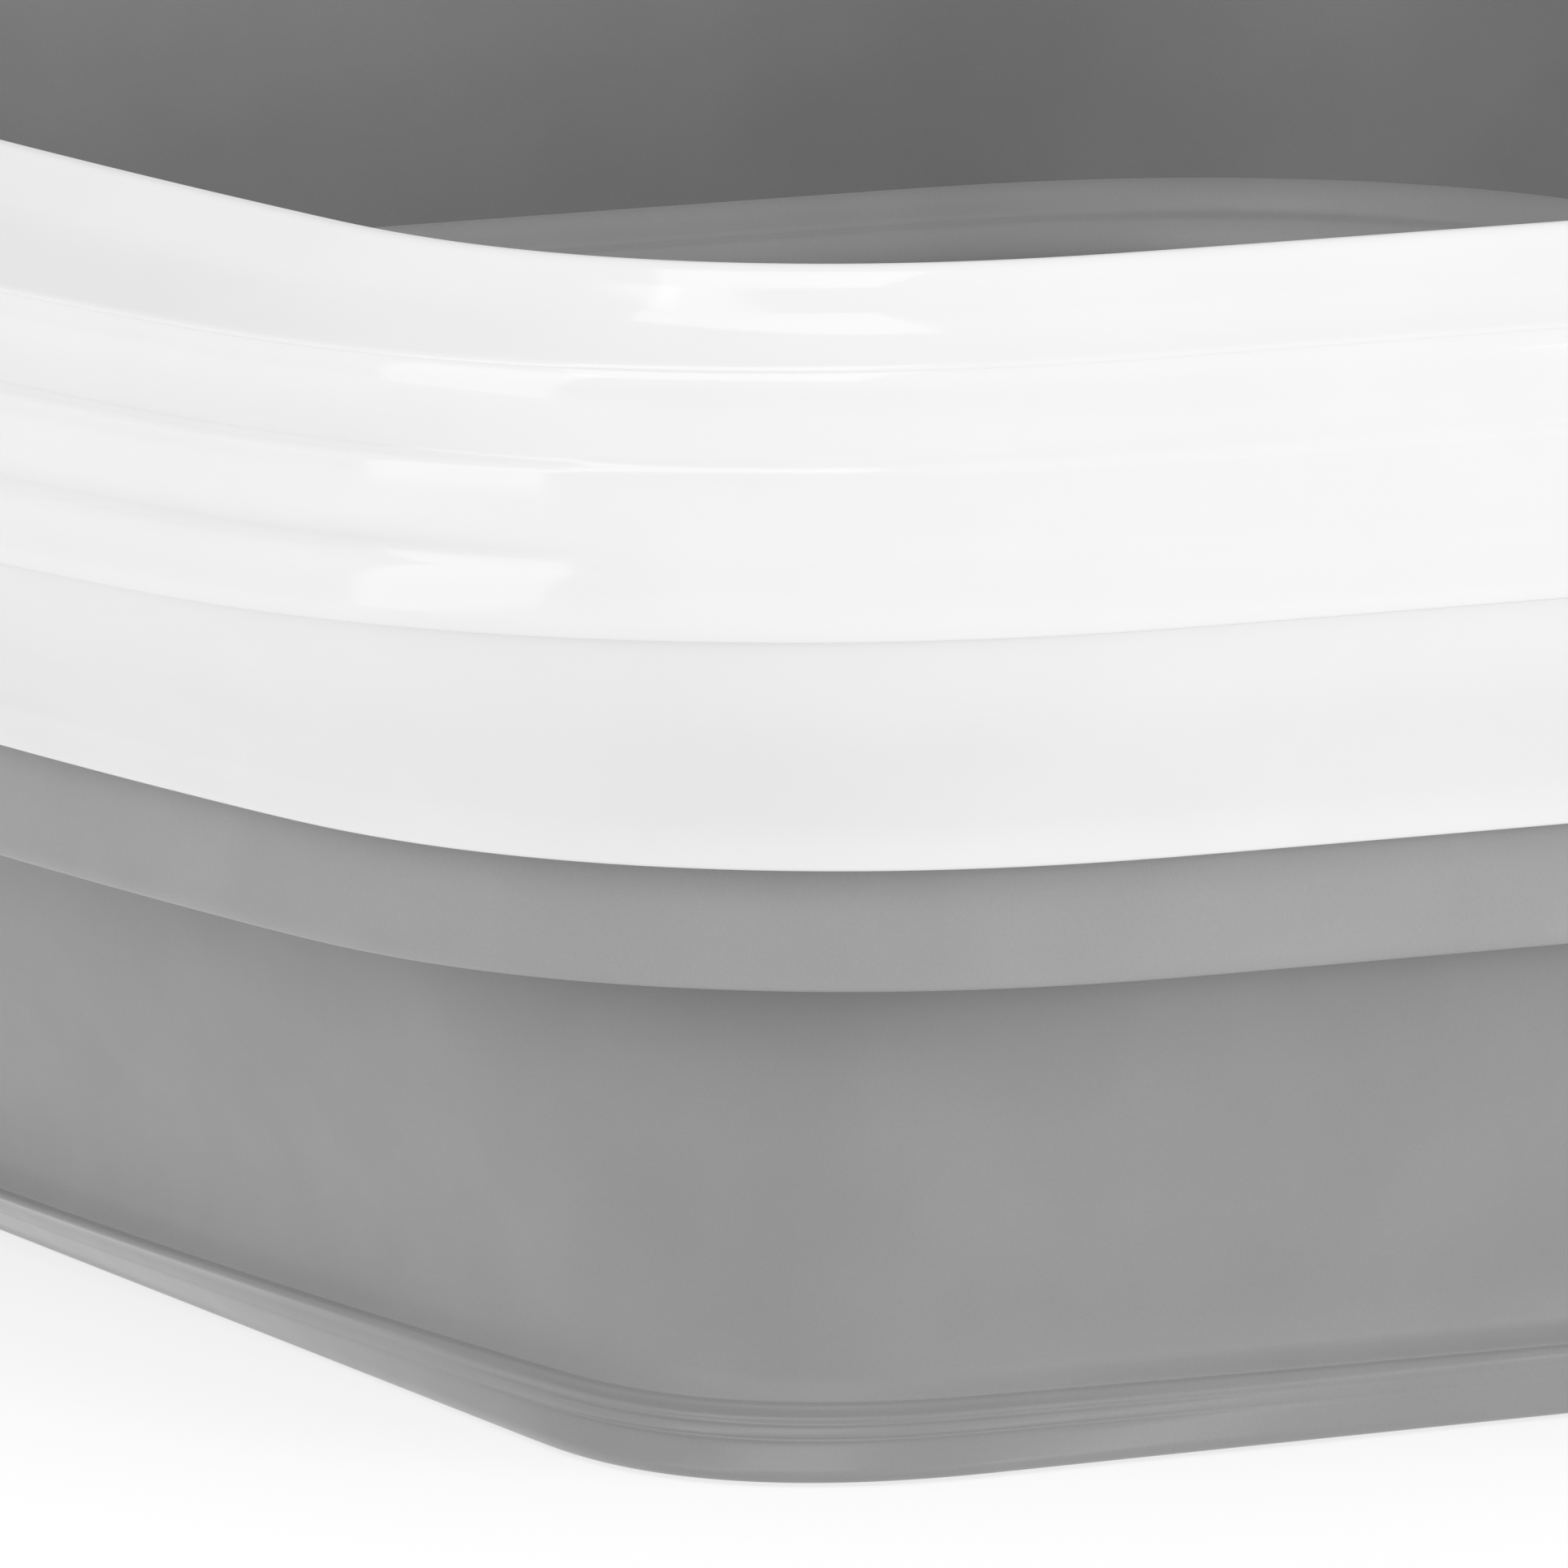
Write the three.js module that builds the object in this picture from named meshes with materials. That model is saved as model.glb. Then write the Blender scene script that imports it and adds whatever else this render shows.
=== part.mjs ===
// A folding pet bathtub, in millimetres, +Z up, long side along X.
// The origin is on the floor under the middle of the tub.
//
// The tub is a stack of rings on bowed rounded rectangles: a rigid base, a soft lower wall, a soft
// stepped fold ring, a soft upper wall and a white hollow rim that slides down over them to fold.

import * as THREE from 'three';
import { mergeVertices } from 'three/addons/utils/BufferGeometryUtils.js';

// ---------------------------------------------------------------- driving dimensions

// Heights above the floor
const RIM_TOP = 200;
const FLANGE_EDGE = 184.4;
const BUMPER_EDGE = 142;
const COLLAR_EDGE = 101.7;
const FOLD_EDGE = 81.3;
const RIDGE_TOP = 12.5;
const FOLD_TOP = 108.5;
const FOOT_EDGE = 2.2;
const FOOT_BOTTOM = 0.6;
const FLOOR_TOP = 9.5;
const FLOOR_BOTTOM = 6;

// Gap kept between pieces that touch
const GAP = 0.3;

// Plan outlines: half sizes along X and Y, reach of the rounded corner along each side, and how
// far the middle of the short side (bowX) and of the long side (bowY) stands out from straight
const OUTLINES = {
  crest: { halfX: 318.8, halfY: 238.9, corner: 95, bowX: 5, bowY: 26 },
  flange: { halfX: 327.8, halfY: 247.8, corner: 104, bowX: 4, bowY: 54.5 },
  bumper: { halfX: 332, halfY: 251.7, corner: 111, bowX: 6.5, bowY: 58 },
  coreTop: { halfX: 316.6, halfY: 236.7, corner: 93, bowX: 5, bowY: 32 },
  collar: { halfX: 313.1, halfY: 233.3, corner: 102, bowX: 4.2, bowY: 36 },
  rimInner: { halfX: 312.8, halfY: 232.9, corner: 89, bowX: 5, bowY: 27.5 },
  fold: { halfX: 309, halfY: 230.3, corner: 103, bowX: 4, bowY: 32.5 },
  ridge: { halfX: 288, halfY: 208.5, corner: 46, bowX: 10, bowY: 20 },
  foot: { halfX: 298.5, halfY: 218, corner: 60, bowX: -2, bowY: 0 },
  shelf: { halfX: 281.5, halfY: 202, corner: 44, bowX: 1, bowY: 2 },
};

// The corners are superellipse quarters, so that they run smoothly into the sides
const CORNER_POWER = 2.6;

// Segments round one corner and along one side of every ring
const CORNER_SEGMENTS = 6;
const SIDE_SEGMENTS = 8;
const RING_SEGMENTS = 4 * (CORNER_SEGMENTS + SIDE_SEGMENTS);

// Hand-holds: a step and a valley along the middle of each long side of the bumper
const GROOVE_DEPTH = 2.2;
const GROOVE_FADE_START = 262;
const GROOVE_FADE_END = 316;

// Drain, on the long axis near one end
const DRAIN_X = -205;
const DRAIN_HOLE_RADIUS = 22;
const DRAIN_BORE_RADIUS = 17;
const DRAIN_FLANGE_RADIUS = 31;
const DRAIN_SEGMENTS = 32;

// Anti-slip pads under the floor
const PAD_X = 225;
const PAD_Y = 150;
const PAD_RADIUS = 16;

// ---------------------------------------------------------------- materials

function plastic(color, roughness) {
  return new THREE.MeshStandardMaterial({ color, roughness, metalness: 0 });
}

const MATERIALS = {
  white: plastic(0xf2f2f2, 0.22),
  grey: plastic(0x9a9a9a, 0.55),
  darkGrey: plastic(0x7d7d7d, 0.6),
  rubber: plastic(0x5c5c5c, 0.85),
};

// ---------------------------------------------------------------- outlines

// A point on a bowed rounded rectangle. "inset" moves the whole outline inwards.
function outlinePoint(outline, inset, index) {
  const halfX = outline.halfX - inset;
  const halfY = outline.halfY - inset;
  const corner = Math.max(outline.corner - inset, 8);
  const perQuarter = CORNER_SEGMENTS + SIDE_SEGMENTS;
  const quarter = Math.floor(index / perQuarter) % 4;
  const step = index % perQuarter;
  const signX = quarter === 0 || quarter === 3 ? 1 : -1;
  const signY = quarter < 2 ? 1 : -1;
  const onCorner = Math.min(step, CORNER_SEGMENTS) / CORNER_SEGMENTS;
  const angle = (quarter + onCorner) * Math.PI / 2;
  const across = Math.abs(Math.cos(angle)) ** (2 / CORNER_POWER);
  const along = Math.abs(Math.sin(angle)) ** (2 / CORNER_POWER);
  let x = signX * (halfX - corner + corner * across);
  let y = signY * (halfY - corner + corner * along);
  const onSide = Math.max(step - CORNER_SEGMENTS, 0) / SIDE_SEGMENTS;
  if (quarter % 2 === 0) {
    x -= signX * 2 * (halfX - corner) * onSide;
  } else {
    y -= signY * 2 * (halfY - corner) * onSide;
  }
  const bowedX = x + outline.bowX * (1 - (y / halfY) ** 2) * x / halfX;
  const bowedY = y + outline.bowY * (1 - (x / halfX) ** 2) * y / halfY;
  return new THREE.Vector2(bowedX, bowedY);
}

// The outline a given share of the way from one outline to another
function between(from, to, share) {
  const mixed = {};
  for (const key of Object.keys(from)) {
    mixed[key] = from[key] + (to[key] - from[key]) * share;
  }
  return mixed;
}

function station(outline, inset, z, grooved = 0) {
  return { outline, inset, z, grooved };
}

// How deep the hand-hold grooves are at a place along the long side
function grooveWeight(x, y) {
  const along = THREE.MathUtils.smoothstep(Math.abs(x), GROOVE_FADE_START, GROOVE_FADE_END);
  return Math.abs(y) > OUTLINES.fold.halfY / 2 ? 1 - along : 0;
}

function stationPoint(place, index) {
  const plain = outlinePoint(place.outline, place.inset, index);
  if (place.grooved === 0) {
    return plain;
  }
  const depth = place.grooved * GROOVE_DEPTH * grooveWeight(plain.x, plain.y);
  return outlinePoint(place.outline, place.inset + depth, index);
}

// ---------------------------------------------------------------- solids

// A ring whose section is a closed loop of stations, outer side first, going up
function ringGeometry(stations) {
  const loop = [...stations, stations[0]];
  const profile = loop.map((place, row) => new THREE.Vector2(1 + row, place.z));
  const geometry = new THREE.LatheGeometry(profile, RING_SEGMENTS);
  const position = geometry.attributes.position;
  for (let turn = 0; turn <= RING_SEGMENTS; turn += 1) {
    for (let row = 0; row < loop.length; row += 1) {
      const point = stationPoint(loop[row], turn % RING_SEGMENTS);
      position.setXYZ(turn * loop.length + row, point.x, point.y, loop[row].z);
    }
  }
  geometry.deleteAttribute('normal');
  geometry.deleteAttribute('uv');
  return mergeVertices(geometry, 0.001);
}

function roundSolid(profile, segments = DRAIN_SEGMENTS) {
  const points = profile.map(([radius, z]) => new THREE.Vector2(radius, z));
  const geometry = new THREE.LatheGeometry(points, segments);
  geometry.rotateX(Math.PI / 2);
  return geometry;
}

function named(name, geometry, material) {
  const mesh = new THREE.Mesh(geometry, material);
  mesh.name = name;
  return mesh;
}

// ---------------------------------------------------------------- rim

// The top moulding: a rounded crest and a hollow flange that falls outwards to a sharp edge
function rimCap() {
  const { crest, flange } = OUTLINES;
  const drop = RIM_TOP - FLANGE_EDGE;
  return named('rim_cap', ringGeometry([
    station(flange, 3, FLANGE_EDGE + GAP),
    station(flange, 0, FLANGE_EDGE + GAP),
    station(flange, 0.4, FLANGE_EDGE + 1.6),
    station(between(crest, flange, 0.62), 0.4, RIM_TOP - 0.86 * drop),
    station(between(crest, flange, 0.2), 0.2, RIM_TOP - 0.42 * drop),
    station(crest, 0, RIM_TOP - 2),
    station(crest, 1.5, RIM_TOP),
    station(crest, 3.8, RIM_TOP),
    station(crest, 5.4, RIM_TOP - 1.8),
    station(crest, 5.4, RIM_TOP - 8.5),
    station(crest, 3.2, RIM_TOP - 8.5),
    station(crest, 3.2, RIM_TOP - 4.2),
    station(between(crest, flange, 0.2), 3.2, RIM_TOP - 0.42 * drop - 3),
    station(between(crest, flange, 0.62), 2.6, FLANGE_EDGE + GAP + 0.05),
  ]), MATERIALS.white);
}

// The bumper under the flange, with a sharp step at its foot and the grooves of the hand-holds
function bumperBand() {
  const { flange, bumper } = OUTLINES;
  const height = FLANGE_EDGE - BUMPER_EDGE;
  const at = (share) => BUMPER_EDGE + share * height;
  const skin = (share) => between(bumper, flange, share);
  const wall = 2.4;
  return named('bumper_band', ringGeometry([
    station(bumper, wall, at(0) + GAP),
    station(bumper, 0.4, at(0) + GAP),
    station(bumper, 0, at(0.04)),
    station(skin(0.2), -0.4, at(0.2), 0.15),
    station(skin(0.29), -0.4, at(0.29), 0.8),
    station(skin(0.38), -0.5, at(0.38), 0.3),
    station(skin(0.5), -0.6, at(0.5)),
    station(skin(0.645), -0.6, at(0.645)),
    station(skin(0.665), -0.6, at(0.665), 0.7),
    station(skin(0.94), -0.9, at(0.94), 0.1),
    station(flange, 0.2, at(1)),
    station(flange, wall + 1, at(1)),
    station(skin(0.9), wall + 0.6, at(0.9)),
    station(skin(0.44), wall + 0.4, at(0.44), 0.8),
  ]), MATERIALS.white);
}

// The collar that turns in under the bumper and ends in an upright lip just above the soft fold
function frameCollar() {
  const { bumper, collar } = OUTLINES;
  const height = BUMPER_EDGE - COLLAR_EDGE;
  const at = (share) => COLLAR_EDGE + share * height;
  const skin = (share) => between(collar, bumper, share);
  const wall = 2;
  return named('frame_collar', ringGeometry([
    station(collar, wall, at(0)),
    station(collar, 0.5, at(0)),
    station(collar, 0, at(0.03)),
    station(skin(0.04), 0, at(0.16)),
    station(skin(0.3), 0, at(0.38)),
    station(skin(0.7), 0, at(0.68)),
    station(bumper, 1.6, at(1)),
    station(bumper, 1.6 + wall, at(1)),
    station(skin(0.66), wall, at(0.7)),
    station(skin(0.27), wall, at(0.42)),
    station(skin(0.02), wall, at(0.18)),
  ]), MATERIALS.white);
}

// The inner wall of the hollow rim, which stiffens it and backs the soft upper wall. Its foot turns
// out to the inside of the collar.
function frameCore() {
  const { bumper, collar, coreTop } = OUTLINES;
  const wall = 1.9;
  const bottom = COLLAR_EDGE + 15.3;
  const top = RIM_TOP - 12;
  const seat = between(collar, bumper, 0.2);
  return named('frame_core', ringGeometry([
    station(collar, 0.2 + wall, bottom),
    station(seat, 2.5, bottom),
    station(seat, 2.5, bottom + wall),
    station(collar, 0.2, bottom + wall),
    station(coreTop, 0, top),
    station(coreTop, wall, top),
  ]), MATERIALS.white);
}

// ---------------------------------------------------------------- soft walls

// The soft upper wall, from under the crest down to the fold ring
function upperWall() {
  const { fold, rimInner } = OUTLINES;
  const wall = 1.9;
  const bottom = FOLD_TOP + GAP;
  const top = RIM_TOP - 8.5 - GAP;
  return named('upper_wall', ringGeometry([
    station(fold, wall, bottom),
    station(fold, 0, bottom),
    station(rimInner, -0.2, top),
    station(rimInner, wall - 0.2, top),
  ]), MATERIALS.grey);
}

// The stepped ring that the soft wall folds at: an outer skirt and a ledge round the inside
function foldRing() {
  const { fold } = OUTLINES;
  const skirt = 2.4;
  const inner = 14;
  const wall = 2.5;
  const innerBottom = FOLD_EDGE + 10.7;
  return named('fold_ring', ringGeometry([
    station(fold, skirt, FOLD_EDGE),
    station(fold, 0.5, FOLD_EDGE),
    station(fold, 0, FOLD_EDGE + 1.2),
    station(fold, 0, FOLD_TOP - 2),
    station(fold, 0.6, FOLD_TOP),
    station(fold, 2.5, FOLD_TOP),
    station(fold, 7, FOLD_TOP - 1.6),
    station(fold, 11, FOLD_TOP - 4.6),
    station(fold, inner - 0.6, FOLD_TOP - 8.5),
    station(fold, inner, FOLD_TOP - 12),
    station(fold, inner, innerBottom),
    station(fold, inner - wall, innerBottom),
    station(fold, inner - wall, FOLD_TOP - 11.5),
    station(fold, 9, FOLD_TOP - 7),
    station(fold, skirt, FOLD_TOP - 4),
  ]), MATERIALS.grey);
}

// The soft lower wall, from the base up to the fold ring
function lowerWall() {
  const { fold, ridge } = OUTLINES;
  const wall = 2.5;
  const bottomInset = 1;
  const topInset = 11.5;
  const bottom = RIDGE_TOP + GAP;
  const top = FOLD_EDGE + 10.4;
  const middle = 0.45;
  const middleInset = bottomInset + middle * (topInset - bottomInset);
  const middleOutline = between(ridge, fold, middle);
  const middleHeight = bottom + middle * (top - bottom);
  return named('lower_wall', ringGeometry([
    station(ridge, bottomInset + wall, bottom),
    station(ridge, bottomInset, bottom),
    station(middleOutline, middleInset, middleHeight),
    station(fold, topInset, top),
    station(fold, topInset + wall, top),
    station(middleOutline, middleInset + wall, middleHeight),
  ]), MATERIALS.grey);
}

// ---------------------------------------------------------------- base

// The foot round the base, with a ridge where the lower wall starts and a shelf for the floor
function footRing() {
  const { foot, ridge, shelf } = OUTLINES;
  const shelfThickness = 2.5;
  return named('foot_ring', ringGeometry([
    station(foot, 20, FLOOR_BOTTOM - GAP - shelfThickness),
    station(foot, 7, FLOOR_BOTTOM - GAP - shelfThickness),
    station(foot, 6, FOOT_BOTTOM),
    station(foot, 0.8, FOOT_BOTTOM),
    station(foot, 0, FOOT_EDGE),
    station(between(foot, ridge, 0.7), -0.6, RIDGE_TOP - 2.6),
    station(ridge, -0.8, RIDGE_TOP - 1.2),
    station(ridge, 0, RIDGE_TOP),
    station(ridge, 5, RIDGE_TOP),
    station(shelf, 0, FLOOR_BOTTOM - GAP),
    station(foot, 20, FLOOR_BOTTOM - GAP),
  ]), MATERIALS.grey);
}

// The rigid floor panel that lies on the shelf of the foot ring, with the drain hole
function floorPanel() {
  const shape = new THREE.Shape();
  for (let index = 0; index < RING_SEGMENTS; index += 1) {
    const point = outlinePoint(OUTLINES.shelf, 2 * GAP, index);
    if (index === 0) {
      shape.moveTo(point.x, point.y);
    } else {
      shape.lineTo(point.x, point.y);
    }
  }
  shape.closePath();
  const hole = new THREE.Path();
  hole.absarc(DRAIN_X, 0, DRAIN_HOLE_RADIUS, 0, Math.PI * 2, true);
  shape.holes.push(hole);
  const geometry = new THREE.ExtrudeGeometry(shape, {
    depth: FLOOR_TOP - FLOOR_BOTTOM,
    bevelEnabled: false,
    curveSegments: DRAIN_SEGMENTS / 2,
  });
  const mesh = named('floor_panel', geometry, MATERIALS.darkGrey);
  mesh.position.z = FLOOR_BOTTOM;
  return mesh;
}

function footPads() {
  const height = FLOOR_BOTTOM - GAP;
  const pads = [];
  const places = [[1, -1], [1, 1], [-1, 1], [-1, -1]];
  places.forEach(([signX, signY], index) => {
    const geometry = roundSolid([
      [0, 0],
      [PAD_RADIUS - 1, 0],
      [PAD_RADIUS, 1],
      [PAD_RADIUS, height],
      [0, height],
    ], 20);
    const pad = named(`foot_pad_${index + 1}`, geometry, MATERIALS.rubber);
    pad.position.set(signX * PAD_X, signY * PAD_Y, 0);
    pads.push(pad);
  });
  return pads;
}

// ---------------------------------------------------------------- drain

// All drain pieces are drawn about their own axis and moved to the drain as one group
function drain() {
  const gasketTop = FLOOR_TOP + GAP + 1;
  const seatBottom = gasketTop + GAP;
  const seatTop = seatBottom + 2;
  const throat = DRAIN_HOLE_RADIUS - GAP;
  const throatEnd = 3;
  const nutTop = FLOOR_BOTTOM - GAP;
  const group = new THREE.Group();
  group.add(named('drain_gasket', roundSolid([
    [DRAIN_HOLE_RADIUS, FLOOR_TOP + GAP],
    [DRAIN_FLANGE_RADIUS - 1.5, FLOOR_TOP + GAP],
    [DRAIN_FLANGE_RADIUS - 1.5, gasketTop],
    [DRAIN_HOLE_RADIUS, gasketTop],
    [DRAIN_HOLE_RADIUS, FLOOR_TOP + GAP],
  ]), MATERIALS.rubber));
  group.add(named('drain_seat', roundSolid([
    [DRAIN_BORE_RADIUS, throatEnd],
    [throat, throatEnd],
    [throat, seatBottom],
    [DRAIN_FLANGE_RADIUS, seatBottom],
    [DRAIN_FLANGE_RADIUS - 1, seatTop],
    [DRAIN_BORE_RADIUS + 3, seatTop],
    [DRAIN_BORE_RADIUS, seatTop - 2],
    [DRAIN_BORE_RADIUS, throatEnd],
  ]), MATERIALS.white));
  group.add(named('drain_nut', roundSolid([
    [throat + GAP, throatEnd],
    [DRAIN_FLANGE_RADIUS - 2, throatEnd],
    [DRAIN_FLANGE_RADIUS - 2, nutTop],
    [throat + GAP, nutTop],
    [throat + GAP, throatEnd],
  ]), MATERIALS.white));
  group.add(named('drain_plug', roundSolid([
    [0, throatEnd + 1],
    [DRAIN_BORE_RADIUS - 2, throatEnd + 1],
    [DRAIN_BORE_RADIUS - GAP - 0.4, throatEnd + 3],
    [DRAIN_BORE_RADIUS - GAP - 0.4, seatTop + GAP],
    [DRAIN_FLANGE_RADIUS - 3, seatTop + GAP],
    [DRAIN_FLANGE_RADIUS - 3, seatTop + 2.2],
    [DRAIN_BORE_RADIUS, seatTop + 3],
    [7, seatTop + 3.6],
    [6, seatTop + 8],
    [9, seatTop + 12],
    [7.5, seatTop + 14],
    [0, seatTop + 14],
  ]), MATERIALS.grey));
  group.position.x = DRAIN_X;
  return group;
}

// ---------------------------------------------------------------- assembly

const bathtub = new THREE.Group();
bathtub.add(rimCap());
bathtub.add(bumperBand());
bathtub.add(frameCollar());
bathtub.add(frameCore());
bathtub.add(upperWall());
bathtub.add(foldRing());
bathtub.add(lowerWall());
bathtub.add(footRing());
bathtub.add(floorPanel());
bathtub.add(...footPads());
bathtub.add(drain());

export default bathtub;
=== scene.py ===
# The looks of a folding pet bathtub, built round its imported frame.
#
# Every ring of the tub follows a bowed rounded rectangle. A ring is drawn as a closed loop of
# stations, each an outline, an inset and a height, and the loop's corners are rounded off.

import math

import bmesh
import bpy
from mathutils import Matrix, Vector


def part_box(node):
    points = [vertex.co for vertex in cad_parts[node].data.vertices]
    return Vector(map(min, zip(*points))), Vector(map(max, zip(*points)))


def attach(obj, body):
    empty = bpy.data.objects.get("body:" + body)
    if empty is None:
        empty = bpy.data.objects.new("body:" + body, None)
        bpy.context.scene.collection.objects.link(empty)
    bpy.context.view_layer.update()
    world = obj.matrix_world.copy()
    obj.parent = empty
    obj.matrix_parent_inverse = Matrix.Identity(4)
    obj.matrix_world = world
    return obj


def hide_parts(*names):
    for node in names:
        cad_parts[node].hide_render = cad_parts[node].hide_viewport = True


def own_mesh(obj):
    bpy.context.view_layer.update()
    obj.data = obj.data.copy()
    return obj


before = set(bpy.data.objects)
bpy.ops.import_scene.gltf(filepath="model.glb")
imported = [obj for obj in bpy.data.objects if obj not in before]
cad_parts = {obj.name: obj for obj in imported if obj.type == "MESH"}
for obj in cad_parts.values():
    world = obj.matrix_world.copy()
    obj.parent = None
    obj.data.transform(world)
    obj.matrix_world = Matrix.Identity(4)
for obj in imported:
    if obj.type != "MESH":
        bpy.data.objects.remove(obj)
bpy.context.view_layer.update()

# ---------------------------------------------------------------- sizes

MM = 0.001

# Plan outlines in millimetres: half sizes, reach of the rounded corner along each side, and how
# far the middles of the short side (bow_x) and of the long side (bow_y) stand out from straight
KEYS = ("half_x", "half_y", "corner", "bow_x", "bow_y")
OUTLINES = {
    "crest": (318.8, 238.9, 95, 5, 26),
    "flange": (327.8, 247.8, 104, 4, 54.5),
    "bumper": (332, 251.7, 111, 6.5, 58),
    "core_top": (316.6, 236.7, 93, 5, 32),
    "collar": (313.1, 233.3, 102, 4.2, 36),
    "rim_inner": (312.8, 232.9, 89, 5, 27.5),
    "fold": (309, 230.3, 103, 4, 32.5),
    "wall_foot": (286, 206.5, 45, 7.8, 19),
    "ridge": (288, 208.5, 46, 10, 20),
    "foot": (298.5, 218, 60, -2, 0),
    "shelf": (281.5, 202, 44, 1, 2),
}
CREST, FLANGE, BUMPER, CORE_TOP, COLLAR, RIM_INNER, FOLD, WALL_FOOT, RIDGE, FOOT, SHELF = (
    dict(zip(KEYS, values)) for values in OUTLINES.values()
)

# The corners are superellipse quarters, so that they run smoothly into the sides
CORNER_POWER = 2.6
CORNER_STEPS = 32
SIDE_STEPS = 44
ROUND_STEPS = 5
TURNED_STEPS = 96
BAR_STEPS = 10

# The rounded top of a bar: shares of its half width that it draws in, at shares of its height
BAR_ROUND = ((0, 0), (0, 0.4), (0.16, 0.75), (0.42, 0.94), (0.75, 1))

# A corner is rounded over less than half of the way to the next corner
MOST_OF_SIDE = 0.49

# The shortest side of a section and the smallest corner in plan, so that neither comes to nothing
SHORTEST_SIDE = 1e-6
SMALLEST_CORNER = 8

# Edges sharper than this many degrees aren't shaded smooth
SHARP_ANGLE = 50


def low(node):
    """The height of a CAD node's lowest point, in millimetres."""
    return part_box(node)[0].z / MM


def high(node):
    """The height of a CAD node's highest point, in millimetres."""
    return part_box(node)[1].z / MM


def middle_of(node):
    """The middle of a CAD node's box, in metres."""
    return sum(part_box(node), Vector()) / 2


RIM_TOP = high("rim_cap")
FLANGE_EDGE = low("rim_cap")
BUMPER_TOP = high("bumper_band")
BUMPER_EDGE = low("bumper_band")
COLLAR_TOP = high("frame_collar")
COLLAR_EDGE = low("frame_collar")
FOLD_TOP = high("fold_ring")
FOLD_EDGE = low("fold_ring")
RIDGE_TOP = high("foot_ring")
FOOT_BOTTOM = low("foot_ring")
FLOOR_TOP = high("floor_panel")
FLOOR_BOTTOM = low("floor_panel")

# The grooves of the hand-holds run along the long sides and fade out round the corners
GROOVE_DEPTH = 2.2
GROOVE_FADE = (262, 316)

# Fine seams of the foot show only round its corners
SEAM_DEPTH = 0.5
SEAM_FADE_X = (215, 262)
SEAM_FADE_Y = (95, 160)

# The drain's throat, bore and flange, and the field of floor ribs round it
FLANGE_RADIUS = (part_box("drain_seat")[1].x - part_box("drain_seat")[0].x) / 2 / MM
THROAT_RADIUS = FLANGE_RADIUS * 0.7
BORE_RADIUS = FLANGE_RADIUS * 0.55
DRAIN_CLEARANCE = FLANGE_RADIUS + 24
RIB_FIELD = (252, 175)

# How far a piece reaches into its neighbour, so that no gap shows between them
LAP = 0.6

# The head of the lower wall and the inner side of the fold ring lie in line: how far in from the
# fold ring's outline, and how thick both are
INNER_INSET = 11.5
INNER_WALL = 2.5

# ---------------------------------------------------------------- materials

# Scales of noise, about how many spots to a metre, and the height of the surface's broad waves
MOTTLE_SCALE = 38
GLOSS_SCALE = 90
WAVE_SCALE = 9
WAVE_HEIGHT = 0.2

# The part of a noise's range that is stretched over two values or over two colours
VALUE_SPAN = (0.3, 0.7)
COLOUR_SPAN = (0.35, 0.65)


def new_material(name):
    material = bpy.data.materials.new(name)
    material.use_nodes = True
    return material, material.node_tree.nodes, material.node_tree.links


def noise(nodes, links, scale, detail=3.0, roughness=0.5):
    place = nodes.new("ShaderNodeTexCoord")
    texture = nodes.new("ShaderNodeTexNoise")
    texture.inputs["Scale"].default_value = scale
    texture.inputs["Detail"].default_value = detail
    texture.inputs["Roughness"].default_value = roughness
    links.new(place.outputs["Object"], texture.inputs["Vector"])
    return texture.outputs["Fac"]


def spread(nodes, links, source, low_value, high_value):
    """Turns a noise into values between two limits."""
    span = nodes.new("ShaderNodeMapRange")
    span.inputs["From Min"].default_value = VALUE_SPAN[0]
    span.inputs["From Max"].default_value = VALUE_SPAN[1]
    span.inputs["To Min"].default_value = low_value
    span.inputs["To Max"].default_value = high_value
    links.new(source, span.inputs["Value"])
    return span.outputs["Result"]


def two_colours(nodes, links, source, first, second):
    """Turns a noise into a mix of two colours."""
    ramp = nodes.new("ShaderNodeValToRGB")
    ramp.color_ramp.elements[0].position = COLOUR_SPAN[0]
    ramp.color_ramp.elements[0].color = (*first, 1)
    ramp.color_ramp.elements[1].position = COLOUR_SPAN[1]
    ramp.color_ramp.elements[1].color = (*second, 1)
    links.new(source, ramp.inputs["Fac"])
    return ramp.outputs["Color"]


def add_bump(nodes, links, shader, heights):
    """Chains one bump for each (height source, distance in millimetres)."""
    normal = None
    for source, distance in heights:
        bump = nodes.new("ShaderNodeBump")
        bump.inputs["Strength"].default_value = 1
        bump.inputs["Distance"].default_value = distance * MM
        links.new(source, bump.inputs["Height"])
        if normal is not None:
            links.new(normal, bump.inputs["Normal"])
        normal = bump.outputs["Normal"]
    links.new(normal, shader.inputs["Normal"])


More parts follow.
